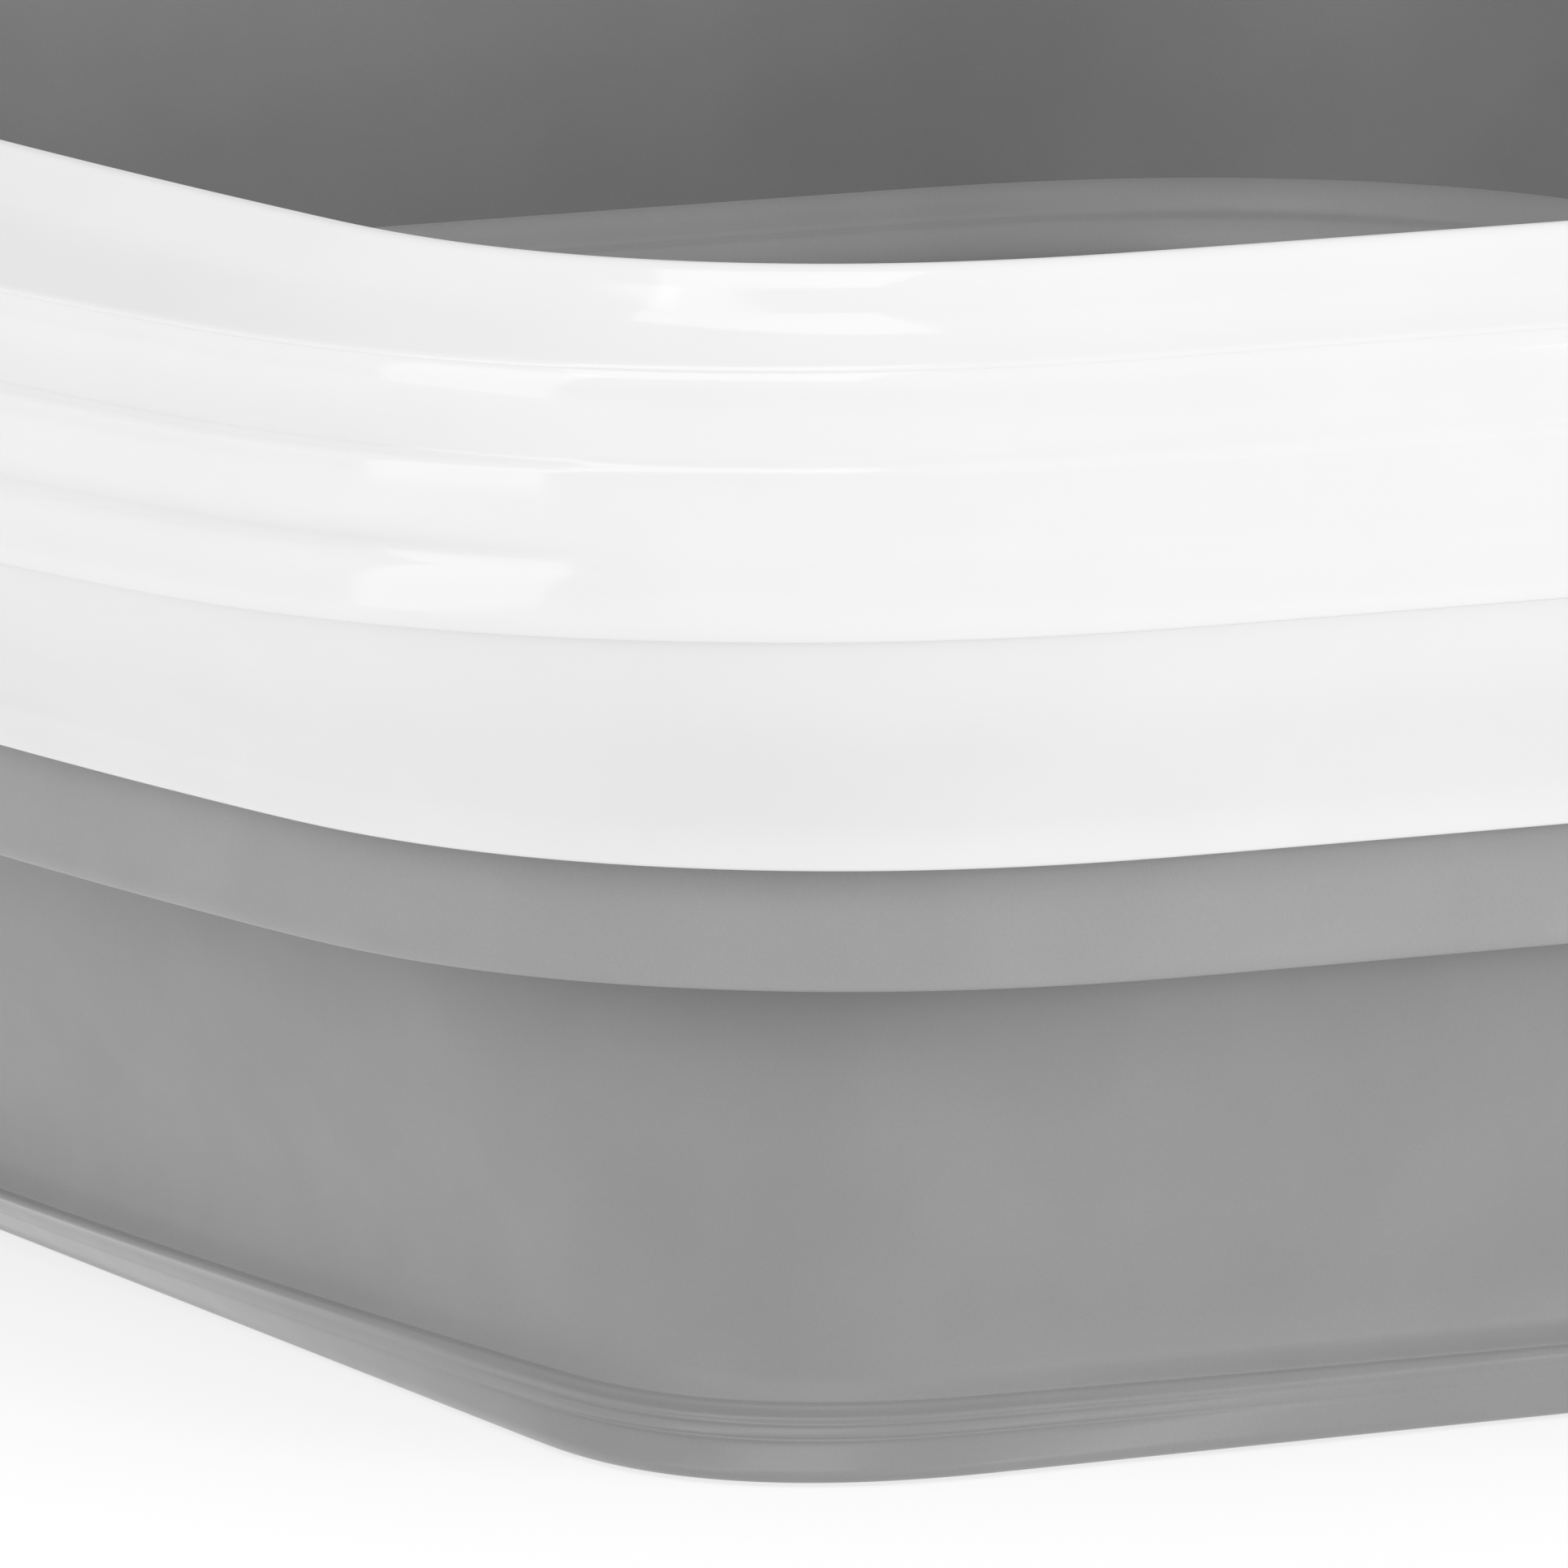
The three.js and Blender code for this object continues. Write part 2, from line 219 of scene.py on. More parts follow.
def moulded(name, first, second, roughness, grain, grain_scale, speckle=0.0, sheen=0.0):
    """Moulded plastic or rubber: mottled and speckled colour, uneven gloss and a moulded grain."""
    material, nodes, links = new_material(name)
    shader = nodes["Principled BSDF"]
    fine = noise(nodes, links, grain_scale, 3, 0.6)
    colour = two_colours(nodes, links, noise(nodes, links, MOTTLE_SCALE, 4), first, second)
    if speckle:
        shade = nodes.new("ShaderNodeMix")
        shade.data_type = "RGBA"
        shade.blend_type = "MULTIPLY"
        shade.inputs["Factor"].default_value = 1
        dark = (1 - speckle,) * 3
        grains = two_colours(nodes, links, fine, dark, (1, 1, 1))
        links.new(colour, shade.inputs["A"])
        links.new(grains, shade.inputs["B"])
        colour = shade.outputs["Result"]
    links.new(colour, shader.inputs["Base Color"])
    gloss = noise(nodes, links, GLOSS_SCALE, 5)
    links.new(spread(nodes, links, gloss, *roughness), shader.inputs["Roughness"])
    broad = noise(nodes, links, WAVE_SCALE, 2)
    add_bump(nodes, links, shader, [(broad, WAVE_HEIGHT), (fine, grain)])
    shader.inputs["Sheen Weight"].default_value = sheen
    shader.inputs["Sheen Roughness"].default_value = 0.4
    return material


def grey(level):
    return (level, level, level)


WHITE = moulded(
    "white_gloss_plastic", grey(0.785), grey(0.795), roughness=(0.07, 0.1),
    grain=0.0015, grain_scale=700,
)
GREY = moulded(
    "grey_soft_wall", grey(0.26), grey(0.274), roughness=(0.44, 0.5),
    grain=0.02, grain_scale=2600, speckle=0.05, sheen=0.25,
)
FOLD_GREY = moulded(
    "grey_fold_ring", grey(0.305), grey(0.32), roughness=(0.38, 0.44),
    grain=0.015, grain_scale=2400, speckle=0.05, sheen=0.3,
)
BASE_GREY = moulded(
    "grey_base_plastic", grey(0.25), grey(0.265), roughness=(0.3, 0.36),
    grain=0.015, grain_scale=2200, speckle=0.05, sheen=0.3,
)
PLUG_GREY = moulded(
    "grey_plug_rubber", grey(0.2), grey(0.22), roughness=(0.5, 0.6),
    grain=0.02, grain_scale=2000, speckle=0.06,
)
RUBBER = moulded(
    "dark_rubber", grey(0.1), grey(0.12), roughness=(0.6, 0.75),
    grain=0.03, grain_scale=1800, speckle=0.1,
)

# ---------------------------------------------------------------- rings


def between(start, end, share):
    """The outline or station that lies at a share of the way between two others."""
    return {key: start[key] + (end[key] - start[key]) * share for key in start}


def station(outline, inset, z, rounding=0.0, groove=0.0, seam=0.0):
    """One corner of a ring's section, in millimetres. rounding is how far its round reaches."""
    return {
        **outline, "inset": inset, "z": z, "rounding": rounding, "groove": groove, "seam": seam,
    }


def gap(start, end):
    """The length of the side between two stations of a section."""
    across = (start["half_x"] - start["inset"]) - (end["half_x"] - end["inset"])
    return max(math.hypot(across, start["z"] - end["z"]), SHORTEST_SIDE)


def rounded(loop):
    """The loop with each corner that has a rounding turned into an arc of short steps."""
    result = []
    for index, corner in enumerate(loop):
        if corner["rounding"] <= 0:
            result.append(corner)
            continue
        before = loop[index - 1]
        after = loop[(index + 1) % len(loop)]
        reach = corner["rounding"]
        start = between(corner, before, min(reach / gap(corner, before), MOST_OF_SIDE))
        end = between(corner, after, min(reach / gap(corner, after), MOST_OF_SIDE))
        for step in range(ROUND_STEPS + 1):
            share = step / ROUND_STEPS
            first = between(start, corner, share)
            second = between(corner, end, share)
            result.append(between(first, second, share))
    return result


def smoothstep(value, start, end):
    """0 up to start, 1 from end on, and a smooth rise between them."""
    share = min(max((value - start) / (end - start), 0), 1)
    return share * share * (3 - 2 * share)


def relief(place, x, y):
    """How much further in the hand-hold grooves and the foot seams bring a station at a point."""
    depth = 0
    if place["groove"] and abs(y) > FOLD["half_y"] / 2:
        depth += place["groove"] * GROOVE_DEPTH * (1 - smoothstep(abs(x), *GROOVE_FADE))
    if place["seam"]:
        weight = smoothstep(abs(x), *SEAM_FADE_X) * smoothstep(abs(y), *SEAM_FADE_Y)
        depth += place["seam"] * SEAM_DEPTH * weight
    return depth


def plan_points(place):
    """The bowed rounded rectangle of one station, as (x, y) in millimetres."""
    points = []
    for quarter in range(4):
        sign_x = 1 if quarter in (0, 3) else -1
        sign_y = 1 if quarter < 2 else -1
        for step in range(CORNER_STEPS + SIDE_STEPS):
            point = plan_point(place, place["inset"], quarter, sign_x, sign_y, step)
            depth = relief(place, *point)
            if depth:
                inset = place["inset"] + depth
                point = plan_point(place, inset, quarter, sign_x, sign_y, step)
            points.append(point)
    return points


def plan_point(place, inset, quarter, sign_x, sign_y, step):
    half_x = place["half_x"] - inset
    half_y = place["half_y"] - inset
    corner = max(place["corner"] - inset, SMALLEST_CORNER)
    angle = (quarter + min(step, CORNER_STEPS) / CORNER_STEPS) * math.pi / 2
    x = sign_x * (half_x - corner + corner * abs(math.cos(angle)) ** (2 / CORNER_POWER))
    y = sign_y * (half_y - corner + corner * abs(math.sin(angle)) ** (2 / CORNER_POWER))
    along = max(step - CORNER_STEPS, 0) / SIDE_STEPS
    if quarter % 2 == 0:
        x -= sign_x * 2 * (half_x - corner) * along
    else:
        y -= sign_y * 2 * (half_y - corner) * along
    bowed_x = x + place["bow_x"] * (1 - (y / half_y) ** 2) * x / half_x
    bowed_y = y + place["bow_y"] * (1 - (x / half_x) ** 2) * y / half_y
    return bowed_x, bowed_y


def show(mesh, name, material):
    mesh.materials.append(material)
    piece = bpy.data.objects.new(name, mesh)
    bpy.context.scene.collection.objects.link(piece)
    for polygon in mesh.polygons:
        polygon.use_smooth = True
    mesh.set_sharp_from_angle(angle=math.radians(SHARP_ANGLE))
    return piece


def ring(name, loop, material):
    """A closed tube round the tub. The loop runs anticlockwise: outer side going up."""
    rows = [
        [(x * MM, y * MM, place["z"] * MM) for x, y in plan_points(place)]
        for place in rounded(loop)
    ]
    count = len(rows[0])
    vertices = [point for row in rows for point in row]
    faces = []
    for row in range(len(rows)):
        here = row * count
        above = (row + 1) % len(rows) * count
        for index in range(count):
            after = (index + 1) % count
            faces.append((here + index, here + after, above + after, above + index))
    mesh = bpy.data.meshes.new(name)
    mesh.from_pydata(vertices, [], faces)
    return show(mesh, name, material)


def place_piece(piece, body, slot, *nodes):
    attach(piece, body)
    if nodes:
        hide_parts(*nodes)
    return piece


# ---------------------------------------------------------------- rim


def rim_cap():
    drop = RIM_TOP - FLANGE_EDGE
    lip_outer, lip_inner = 4.2, 6.4
    lip_bottom = RIM_TOP - 10
    return ring("cap_shell", [
        station(FLANGE, 3, FLANGE_EDGE, 0.3),
        station(FLANGE, 0, FLANGE_EDGE, 0.3),
        station(FLANGE, 0.3, FLANGE_EDGE + 0.9, 0.6),
        station(between(CREST, FLANGE, 0.65), 0.3, RIM_TOP - 0.79 * drop, 4),
        station(between(CREST, FLANGE, 0.27), 0.1, RIM_TOP - 0.56 * drop, 4),
        station(between(CREST, FLANGE, 0.13), 0, RIM_TOP - 0.35 * drop, 3),
        station(CREST, 0, RIM_TOP - 2, 1.4),
        station(CREST, 1.5, RIM_TOP, 1.2),
        station(CREST, 4.6, RIM_TOP, 1),
        station(CREST, lip_inner, RIM_TOP - 1.8, 1.2),
        station(CREST, lip_inner, lip_bottom, 0.3),
        station(CREST, lip_outer, lip_bottom, 0.3),
        station(CREST, lip_outer, RIM_TOP - 4.2, 0.5),
        station(between(CREST, FLANGE, 0.2), 3.4, RIM_TOP - 0.6 * drop - 2, 1),
        station(between(CREST, FLANGE, 0.62), 3.4, FLANGE_EDGE + 0.05, 1),
    ], WHITE)


def bumper_band():
    height = BUMPER_TOP - BUMPER_EDGE
    wall = 2.4

    def skin(share, inset, rounding=2.0, groove=0.0):
        outline = between(BUMPER, FLANGE, share)
        return station(outline, inset, BUMPER_EDGE + share * height, rounding, groove)

    return ring("bumper_shell", [
        skin(0, wall, 0.3),
        skin(0, 0.3, 0.6),
        skin(0.05, -0.1, 1),
        skin(0.21, -0.4, 3, 0.1),
        skin(0.285, -0.3, 1.8, 1),
        skin(0.36, -0.5, 3, 0.15),
        skin(0.5, -0.7, 3),
        skin(0.635, -0.9, 0.9),
        skin(0.66, -0.4, 0.6, 0.95),
        skin(0.72, -0.5, 1.5, 0.75),
        skin(0.86, -0.9, 4, 0.15),
        skin(0.965, -0.9, 1.4, 0.05),
        skin(1 + LAP / height, -0.1, 0.7),
        skin(1 + LAP / height, wall, 0.3),
        skin(0.9, wall + 0.6, 2),
        skin(0.44, wall + 0.4, 2, 0.8),
    ], WHITE)


def frame_collar():
    height = COLLAR_TOP - COLLAR_EDGE
    wall = 2

    def skin(mix, inset, share, rounding):
        z = COLLAR_EDGE + share * height
        return station(between(COLLAR, BUMPER, mix), inset, z, rounding)

    return ring("collar_shell", [
        skin(0, wall, 0, 0.5),
        skin(0, 0.3, 0, 0.8),
        skin(0, 0, 0.04, 0.8),
        skin(0.02, 0, 0.15, 3),
        skin(0.3, 0.2, 0.38, 5),
        skin(0.7, 0.4, 0.68, 6),
        skin(1, 1, 1 + LAP / height, 0.3),
        skin(1, 1 + wall, 1 + LAP / height, 0.3),
        skin(0.66, wall, 0.7, 5),
        skin(0.27, wall, 0.42, 5),
        skin(0.02, wall, 0.18, 3),
    ], WHITE)


def frame_core():
    wall = 1.9
    bottom = low("frame_core")
    top = high("frame_core")
    seat = between(COLLAR, BUMPER, 0.2)
    return ring("core_shell", [
        station(COLLAR, 0.2 + wall, bottom, 0.6),
        station(seat, 2.5, bottom, 0.4),
        station(seat, 2.5, bottom + wall, 0.4),
        station(COLLAR, 0.2, bottom + wall, 1),
        station(CORE_TOP, 0, top, 0.4),
        station(CORE_TOP, wall, top, 0.4),
    ], WHITE)


# ---------------------------------------------------------------- soft walls


def upper_wall(foot):
    """Its foot reaches down into the fold ring, and its head up behind the lip of the cap."""
    wall = 1.9
    top = high("upper_wall")
    return ring("upper_soft_wall", [
        station(FOLD, wall, foot, 0.3),
        station(FOLD, 0.4, foot, 0.3),
        station(RIM_INNER, -0.2, top, 0.3),
        station(RIM_INNER, wall - 0.2, top, 0.6),
    ], GREY)


def fold_ring():
    skirt = 2.4
    inner = INNER_INSET + INNER_WALL
    inner_bottom = high("lower_wall") + 0.3
    return ring("fold_skirt", [
        station(FOLD, skirt, FOLD_EDGE, 0.6),
        station(FOLD, 0.4, FOLD_EDGE, 0.8),
        station(FOLD, 0, FOLD_EDGE + 1.4, 1.2),
        station(FOLD, 0.2, FOLD_EDGE + 6, 3),
        station(FOLD, 0, FOLD_TOP - 2, 1),
        station(FOLD, 0.6, FOLD_TOP, 0.5),
        station(FOLD, 2.6, FOLD_TOP, 1.2),
        station(FOLD, 5.4, FOLD_TOP - 2, 2.5),
        station(FOLD, 7.4, FOLD_TOP - 5.6, 1.2),
        station(FOLD, 10.4, FOLD_TOP - 6.2, 1),
        station(FOLD, 12.6, FOLD_TOP - 8.6, 2),
        station(FOLD, inner, FOLD_TOP - 12, 1.5),
        station(FOLD, inner, inner_bottom, 0.3),
        station(FOLD, INNER_INSET, inner_bottom, 0.3),
        station(FOLD, INNER_INSET, FOLD_TOP - 14, 1),
        station(FOLD, 7.6, FOLD_TOP - 8.2, 2),
        station(FOLD, skirt, FOLD_TOP - 4, 1),
    ], FOLD_GREY)


def lower_wall():
    """The wall flares out at its foot to the ridge of the base."""
    bottom = low("lower_wall") - LAP
    top = high("lower_wall") + LAP
    middle = 0.45
    inset = middle * INNER_INSET
    outline = between(WALL_FOOT, FOLD, middle)
    height = bottom + middle * (top - bottom)
    return ring("lower_soft_wall", [
        station(RIDGE, 7, bottom - 1, 0.3),
        station(RIDGE, 0.5, bottom - 1, 0.3),
        station(RIDGE, 0.5, bottom + 0.3, 0.4),
        station(between(RIDGE, WALL_FOOT, 0.6), 0, bottom + 2, 1.2),
        station(between(RIDGE, WALL_FOOT, 0.92), 0, bottom + 3.8, 1.6),
        station(WALL_FOOT, 0.3, bottom + 10, 5),
        station(outline, inset, height, 20),
        station(FOLD, INNER_INSET, top, 0.3),
        station(FOLD, INNER_INSET + INNER_WALL, top, 0.3),
        station(outline, inset + INNER_WALL, height, 20),
        station(WALL_FOOT, 0.3 + INNER_WALL, bottom + 10, 5),
        station(WALL_FOOT, 3 + INNER_WALL, bottom + 3, 2),
    ], GREY)


# ---------------------------------------------------------------- base


def foot_ring():
    shelf_top = FLOOR_BOTTOM - 0.3
    shelf_bottom = shelf_top - 2.5

    def face(share, inset, rounding, seam=0.0):
        z = FOOT_BOTTOM + share * (RIDGE_TOP - FOOT_BOTTOM)
        return station(between(FOOT, RIDGE, share), inset, z, rounding, seam=seam)

    return ring("foot_band", [
        station(FOOT, 20, shelf_bottom, 0.3),
        station(FOOT, 7, shelf_bottom, 0.5),
        station(FOOT, 6, FOOT_BOTTOM, 0.4),
        station(FOOT, 1, FOOT_BOTTOM, 0.8),
        station(FOOT, 0, FOOT_BOTTOM + 1.6, 1),
        face(0.5, -0.5, 1.2),
        face(0.55, -0.5, 0.4, 1),
        face(0.6, -0.6, 0.6),
        face(0.7, -0.7, 0.8),
        face(0.74, -0.7, 0.6, 1),
        face(0.82, -0.9, 1),
        station(RIDGE, -0.8, RIDGE_TOP - 1.3, 1.2),
        station(RIDGE, 0.2, RIDGE_TOP, 1.2),
        station(RIDGE, 5, RIDGE_TOP, 0.4),
        station(SHELF, 0, shelf_top, 0.3),
        station(FOOT, 20, shelf_top, 0.3),
    ], BASE_GREY)


def floor_panel():
    """The floor plate with its drain hole."""
    centre = middle_of("drain_seat")
    hole = THROAT_RADIUS + 0.3
    mesh = bmesh.new()
    edge_points = plan_points(station(SHELF, -0.4, 0))
    outer = [mesh.verts.new((x * MM, y * MM, FLOOR_TOP * MM)) for x, y in edge_points]
    inner = []
    for step in range(TURNED_STEPS):
        angle = step / TURNED_STEPS * math.tau
        inner.append(mesh.verts.new((
            centre.x + hole * MM * math.cos(angle),
            centre.y + hole * MM * math.sin(angle),
            FLOOR_TOP * MM,
        )))
    edges = []
    for loop in (outer, inner):
        for index, vertex in enumerate(loop):
            edges.append(mesh.edges.new((vertex, loop[(index + 1) % len(loop)])))
    bmesh.ops.triangle_fill(mesh, use_beauty=True, use_dissolve=False, edges=edges)
    thick = bmesh.ops.extrude_face_region(mesh, geom=list(mesh.faces))
    moved = [item for item in thick["geom"] if isinstance(item, bmesh.types.BMVert)]
    bmesh.ops.translate(mesh, verts=moved, vec=(0, 0, (FLOOR_BOTTOM - FLOOR_TOP) * MM))
    return finished(mesh, "floor_plate", BASE_GREY)


def finished(mesh, name, material):
    """Turns a bmesh into a shown piece with its faces pointing out."""
    bmesh.ops.recalc_face_normals(mesh, faces=mesh.faces)
    data = bpy.data.meshes.new(name)
    mesh.to_mesh(data)
    mesh.free()
    return show(data, name, material)


def add_bar(mesh, centre, length, width, foot, height, along_x=True):
    """Adds a bar with round ends and a rounded top. It grows from foot to height, up or down."""
    radius = width / 2
    rise = height - foot
    rows = []
    for inset, share in BAR_ROUND:
        reach = radius * (1 - inset)
        row = []
        for step in range(BAR_STEPS * 2):
            angle = (step + 0.5) / BAR_STEPS * math.pi
            shift = (length / 2 - radius) * (1 if math.cos(angle) > 0 else -1)
            along = shift + reach * math.cos(angle)
            across = reach * math.sin(angle)
            x, y = (along, across) if along_x else (across, along)
            place = ((centre[0] + x) * MM, (centre[1] + y) * MM, (foot + rise * share) * MM)
            row.append(mesh.verts.new(place))
        rows.append(row)
    for lower, upper in zip(rows, rows[1:]):
        for index in range(len(lower)):
            after = (index + 1) % len(lower)
            mesh.faces.new((lower[index], lower[after], upper[after], upper[index]))
    mesh.faces.new(rows[0])
    mesh.faces.new(rows[-1])


def anti_slip_ribs():
    """Staggered low bars over the floor, clear of the drain."""
    mesh = bmesh.new()
    drain = middle_of("drain_seat") / MM
    pitch_x, pitch_y = 46, 24
    length, width = 30, 6
    sunk, rise = 0.5, 1.3
    columns = RIB_FIELD[0] // pitch_x
    rows = RIB_FIELD[1] // pitch_y
    for row in range(-rows, rows + 1):
        stagger = pitch_x / 2 if row % 2 else 0
        for column in range(-columns, columns + 1):
            x = column * pitch_x + stagger
            y = row * pitch_y
            clear = math.hypot(x - drain.x, y - drain.y) > DRAIN_CLEARANCE
            if abs(x) < RIB_FIELD[0] and clear:
                add_bar(mesh, (x, y), length, width, FLOOR_TOP - sunk, FLOOR_TOP + rise)
    return finished(mesh, "anti_slip_ribs", BASE_GREY)


def underside_ribs():
    """Long stiffening ribs under the floor plate."""
    mesh = bmesh.new()
    pitch, length, width = 35, 500, 3
    sunk, drop = 0.5, 3.2
    for row in (-3, -2, -1, 1, 2, 3):
        y = row * pitch
        add_bar(mesh, (0, y), length, width, FLOOR_BOTTOM + sunk, FLOOR_BOTTOM - drop)
    return finished(mesh, "underside_ribs", BASE_GREY)


# ---------------------------------------------------------------- turned pieces


def round_corners(profile):
    """A profile of (radius, height, reach of the rounding) as a finer list of (radius, height)."""
    points = []
    for index, (radius, height, reach) in enumerate(profile):
        if reach <= 0:
            points.append((radius, height))
            continue
        corner = Vector((radius, height))
        ends = []
        for other in (profile[index - 1], profile[(index + 1) % len(profile)]):
            step = Vector(other[:2]) - corner
            ends.append(corner + step * min(reach / step.length, MOST_OF_SIDE))
        for step in range(ROUND_STEPS + 1):
            share = step / ROUND_STEPS
            first = ends[0].lerp(corner, share)
            points.append(tuple(first.lerp(corner.lerp(ends[1], share), share)))
    return points


def turned(name, centre, profile, material, lugs=0, lug_depth=0.0, closed=True):
    """A piece turned about an upright axis, in millimetres. Lugs notch its widest part."""
    mesh = bmesh.new()
    widest = max(radius for radius, height, reach in profile)
    rows = []
    for radius, height in round_corners(profile):
        row = []
        for step in range(TURNED_STEPS):
            angle = step / TURNED_STEPS * math.tau
            reach = radius
            if lugs and radius > widest - 2 * lug_depth:
                reach -= lug_depth * smoothstep(math.cos(lugs * angle), -0.4, 0.4)
            row.append(mesh.verts.new((
                centre.x + reach * MM * math.cos(angle),
                centre.y + reach * MM * math.sin(angle),
                height * MM,
            )))
        rows.append(row)
    pairs = list(zip(rows, rows[1:]))
    if closed:
        pairs.append((rows[-1], rows[0]))
    for lower, upper in pairs:
        for index in range(TURNED_STEPS):
            after = (index + 1) % TURNED_STEPS
            mesh.faces.new((lower[index], lower[after], upper[after], upper[index]))
    bmesh.ops.remove_doubles(mesh, verts=mesh.verts, dist=MM / 1000)
    return finished(mesh, name, material)


def foot_pad(node):
    """A rubber pad with ring treads, flat on the floor."""
    top = high(node)
    tread = 0.6
    profile = [(0, tread, 0)]
    for ring_start in (3, 8):
        profile += [
            (ring_start, tread, 0.2), (ring_start + 0.4, 0, 0.2),
            (ring_start + 3, 0, 0.2), (ring_start + 3.4, tread, 0.2),
        ]
    profile += [(12.6, tread, 0.2), (13, 0, 0.2), (15, 0, 0.4), (16, 1, 0.5), (16, top, 0.4)]
    profile += [(0, top, 0)]
    return turned(node + "_tread", middle_of(node), profile, RUBBER, closed=False)


def drain_gasket():
    bottom, top = low("drain_gasket") - 0.3, high("drain_gasket") + 0.3
    outer = FLANGE_RADIUS - 1.5
    return turned("drain_seal", middle_of("drain_gasket"), [
        (THROAT_RADIUS, bottom, 0.2), (outer, bottom, 0.4), (outer + 0.5, (bottom + top) / 2, 0.5),
        (outer, top, 0.4), (THROAT_RADIUS, top, 0.2),
    ], RUBBER)


def drain_seat():
    bottom, top = low("drain_seat"), high("drain_seat")
    flange = top - 2
    return turned("drain_collar", middle_of("drain_seat"), [
        (BORE_RADIUS, bottom, 0.4), (THROAT_RADIUS, bottom, 0.5), (THROAT_RADIUS, flange, 0.3),
        (FLANGE_RADIUS, flange, 0.4), (FLANGE_RADIUS - 0.4, flange + 1, 0.6),
        (FLANGE_RADIUS - 4, top, 1.6), (BORE_RADIUS + 3, top, 1), (BORE_RADIUS, flange, 1),
    ], WHITE)


def drain_nut():
    bottom, top = low("drain_nut"), high("drain_nut")
    outer = FLANGE_RADIUS - 2
    return turned("drain_ring_nut", middle_of("drain_nut"), [
        (THROAT_RADIUS + 0.3, bottom, 0.3), (outer, bottom, 0.6), (outer, top, 0.4),
        (THROAT_RADIUS + 0.3, top, 0.2),
    ], WHITE, lugs=10, lug_depth=1.4)


def drain_plug():
    bottom, top = low("drain_plug"), high("drain_plug")
    seat = high("drain_seat")
    stem = BORE_RADIUS - 0.7
    cover = FLANGE_RADIUS - 3
    return turned("drain_stopper", middle_of("drain_plug"), [
        (0, bottom + 0.8, 0), (BORE_RADIUS - 4, bottom + 0.8, 1), (BORE_RADIUS - 3, bottom, 0.5),
        (BORE_RADIUS - 2, bottom, 0.4), (stem, bottom + 2, 0.8), (stem, seat + 0.3, 0.5),
        (cover, seat + 0.3, 0.4), (cover, seat + 1.6, 0.7), (cover - 3, seat + 2.6, 2),
        (BORE_RADIUS, seat + 2.9, 1), (BORE_RADIUS - 1, seat + 2.3, 0.6), (8, seat + 2.5, 1.5),
        (5.6, seat + 5, 2), (5.8, top - 6, 2), (9, top - 3, 1.6), (8.4, top - 0.6, 1.4),
        (4, top, 1.5), (0, top, 0),
    ], PLUG_GREY, closed=False)


# ---------------------------------------------------------------- stage

# Half the width of the floor, in metres
FLOOR_REACH = 12

# How strongly the floor and the sky glow, where 1 is white. The sky's glow goes from the horizon's
# to the ceiling's, which it reaches at CEILING_START, the sine of the angle above the horizon
FLOOR_GLOW = 0.74
HORIZON_GLOW = 0.63
CEILING_GLOW = 0.77
CEILING_START = 0.75

# The photo's camera, from a fit to edges traced in it: metres, degrees and millimetres
CAMERA_PLACE = (3.6823, -1.926, 0.7718)
CAMERA_YAW = -63
CAMERA_PITCH = 9.8
CAMERA_LENS = 559


def floor():
    """A white floor lit from below as a light table is, so that it lights the tub's sides too."""
    mesh = bpy.data.meshes.new("studio_floor")
    corners = [(x * FLOOR_REACH, y * FLOOR_REACH, 0) for x, y in ((-1, -1), (1, -1), (1, 1), (-1, 1))]
    mesh.from_pydata(corners, [], [(0, 1, 2, 3)])
    material, nodes, links = new_material("pale_floor")
    shader = nodes["Principled BSDF"]
    tone = two_colours(nodes, links, noise(nodes, links, 2), grey(0.25), grey(0.27))
    links.new(tone, shader.inputs["Base Color"])
    shader.inputs["Roughness"].default_value = 0.8
    shader.inputs["Specular IOR Level"].default_value = 0.1
    shader.inputs["Emission Color"].default_value = (1, 1, 1, 1)
    shader.inputs["Emission Strength"].default_value = FLOOR_GLOW
    show(mesh, "studio_floor", material)


def area_light(name, place, target, size, power):
    """A soft rectangular light, in metres and watts, that faces its target."""
    light = bpy.data.lights.new(name, "AREA")
    light.shape = "RECTANGLE"
    light.size, light.size_y = size
    light.energy = power
    holder = bpy.data.objects.new(name, light)
    holder.location = place
    holder.rotation_mode = "QUATERNION"
    holder.rotation_quaternion = (Vector(target) - Vector(place)).to_track_quat("-Z", "Y")
    bpy.context.scene.collection.objects.link(holder)


def sky():
    """A soft white glow from all round, brighter towards the ceiling."""
    world = bpy.data.worlds.new("studio")
    world.use_nodes = True
    nodes, links = world.node_tree.nodes, world.node_tree.links
    place = nodes.new("ShaderNodeTexCoord")
    height = nodes.new("ShaderNodeSeparateXYZ")
    links.new(place.outputs["Generated"], height.inputs["Vector"])
    fade = nodes.new("ShaderNodeMapRange")
    fade.interpolation_type = "SMOOTHSTEP"
    fade.inputs["From Min"].default_value = 0
    fade.inputs["From Max"].default_value = CEILING_START
    fade.inputs["To Min"].default_value = HORIZON_GLOW
    fade.inputs["To Max"].default_value = CEILING_GLOW
    links.new(height.outputs["Z"], fade.inputs["Value"])
    links.new(fade.outputs["Result"], nodes["Background"].inputs["Strength"])
    nodes["Background"].inputs["Color"].default_value = (1, 1, 1, 1)
    bpy.context.scene.world = world


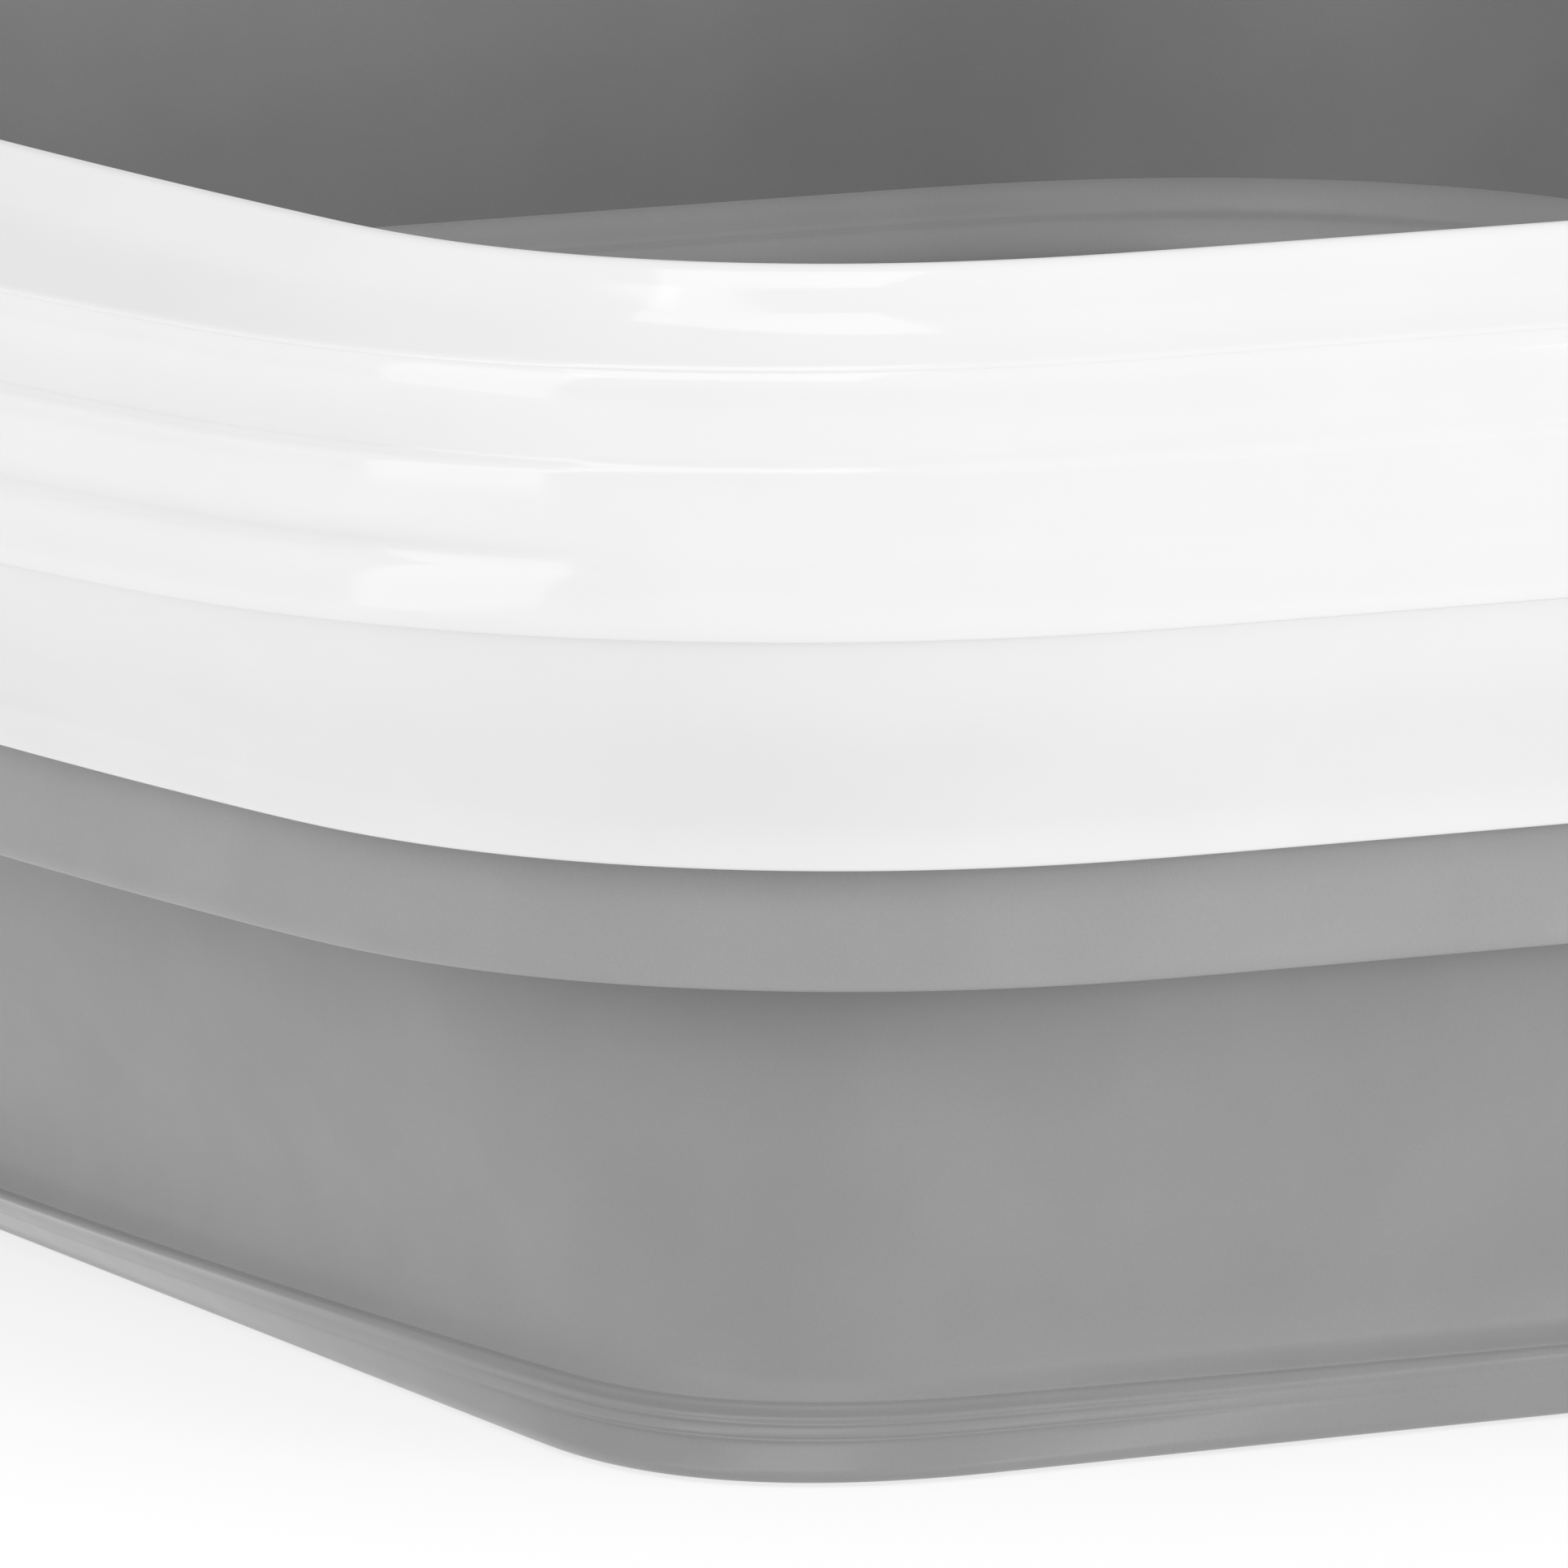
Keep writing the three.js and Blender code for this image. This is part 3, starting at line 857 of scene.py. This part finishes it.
def lights():
    area_light(
        "front_softbox", place=(1.15, -0.9, 2.0), target=(0, 0, 0.1), size=(1.6, 1.6), power=11,
    )
    area_light(
        "left_softbox", place=(0.67, -2.07, 0.85), target=(0.1, -0.2, 0.15), size=(1.1, 1.65),
        power=7.6,
    )
    area_light(
        "right_softbox", place=(1.9, 1.7, 0.5), target=(0.2, 0, 0.15), size=(1.66, 0.8), power=20,
    )


def camera():
    data = bpy.data.cameras.new("photo_view")
    data.sensor_width = 36
    data.lens = CAMERA_LENS
    data.clip_end = 50
    holder = bpy.data.objects.new("photo_view", data)
    holder.location = CAMERA_PLACE
    yaw = math.radians(CAMERA_YAW)
    pitch = math.radians(CAMERA_PITCH)
    look = Vector((
        math.sin(yaw) * math.cos(pitch), math.cos(yaw) * math.cos(pitch), -math.sin(pitch),
    ))
    holder.rotation_mode = "QUATERNION"
    holder.rotation_quaternion = look.to_track_quat("-Z", "Y")
    bpy.context.scene.collection.objects.link(holder)
    bpy.context.scene.camera = holder


# ---------------------------------------------------------------- assembly

bpy.context.scene.view_settings.view_transform = "Standard"
camera()
sky()
lights()
floor()

place_piece(rim_cap(), "rim", "rim", "rim_cap")
place_piece(bumper_band(), "rim", "rim", "bumper_band")
place_piece(frame_collar(), "rim", "rim", "frame_collar")
place_piece(frame_core(), "rim", "rim", "frame_core")

place_piece(fold_ring(), "base", "soft_wall", "fold_ring")
place_piece(lower_wall(), "base", "soft_wall", "lower_wall")
place_piece(foot_ring(), "base", "base", "foot_ring")
place_piece(floor_panel(), "base", "base", "floor_panel")
place_piece(anti_slip_ribs(), "base", "base")
place_piece(underside_ribs(), "base", "base")
for number in range(1, 5):
    node = f"foot_pad_{number}"
    place_piece(foot_pad(node), "base", "pads", node)
place_piece(drain_gasket(), "base", "pads", "drain_gasket")
place_piece(drain_seat(), "base", "drain", "drain_seat")
place_piece(drain_nut(), "base", "drain", "drain_nut")
place_piece(drain_plug(), "plug", "plug", "drain_plug")

# The upper wall's head stays under the cap; its foot reaches below the CAD wall's lowest point, and
# it gets a mesh of its own
soft_foot = low("upper_wall") - 3 * LAP
soft = place_piece(upper_wall(soft_foot), "base", "soft_wall", "upper_wall")
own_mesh(soft)
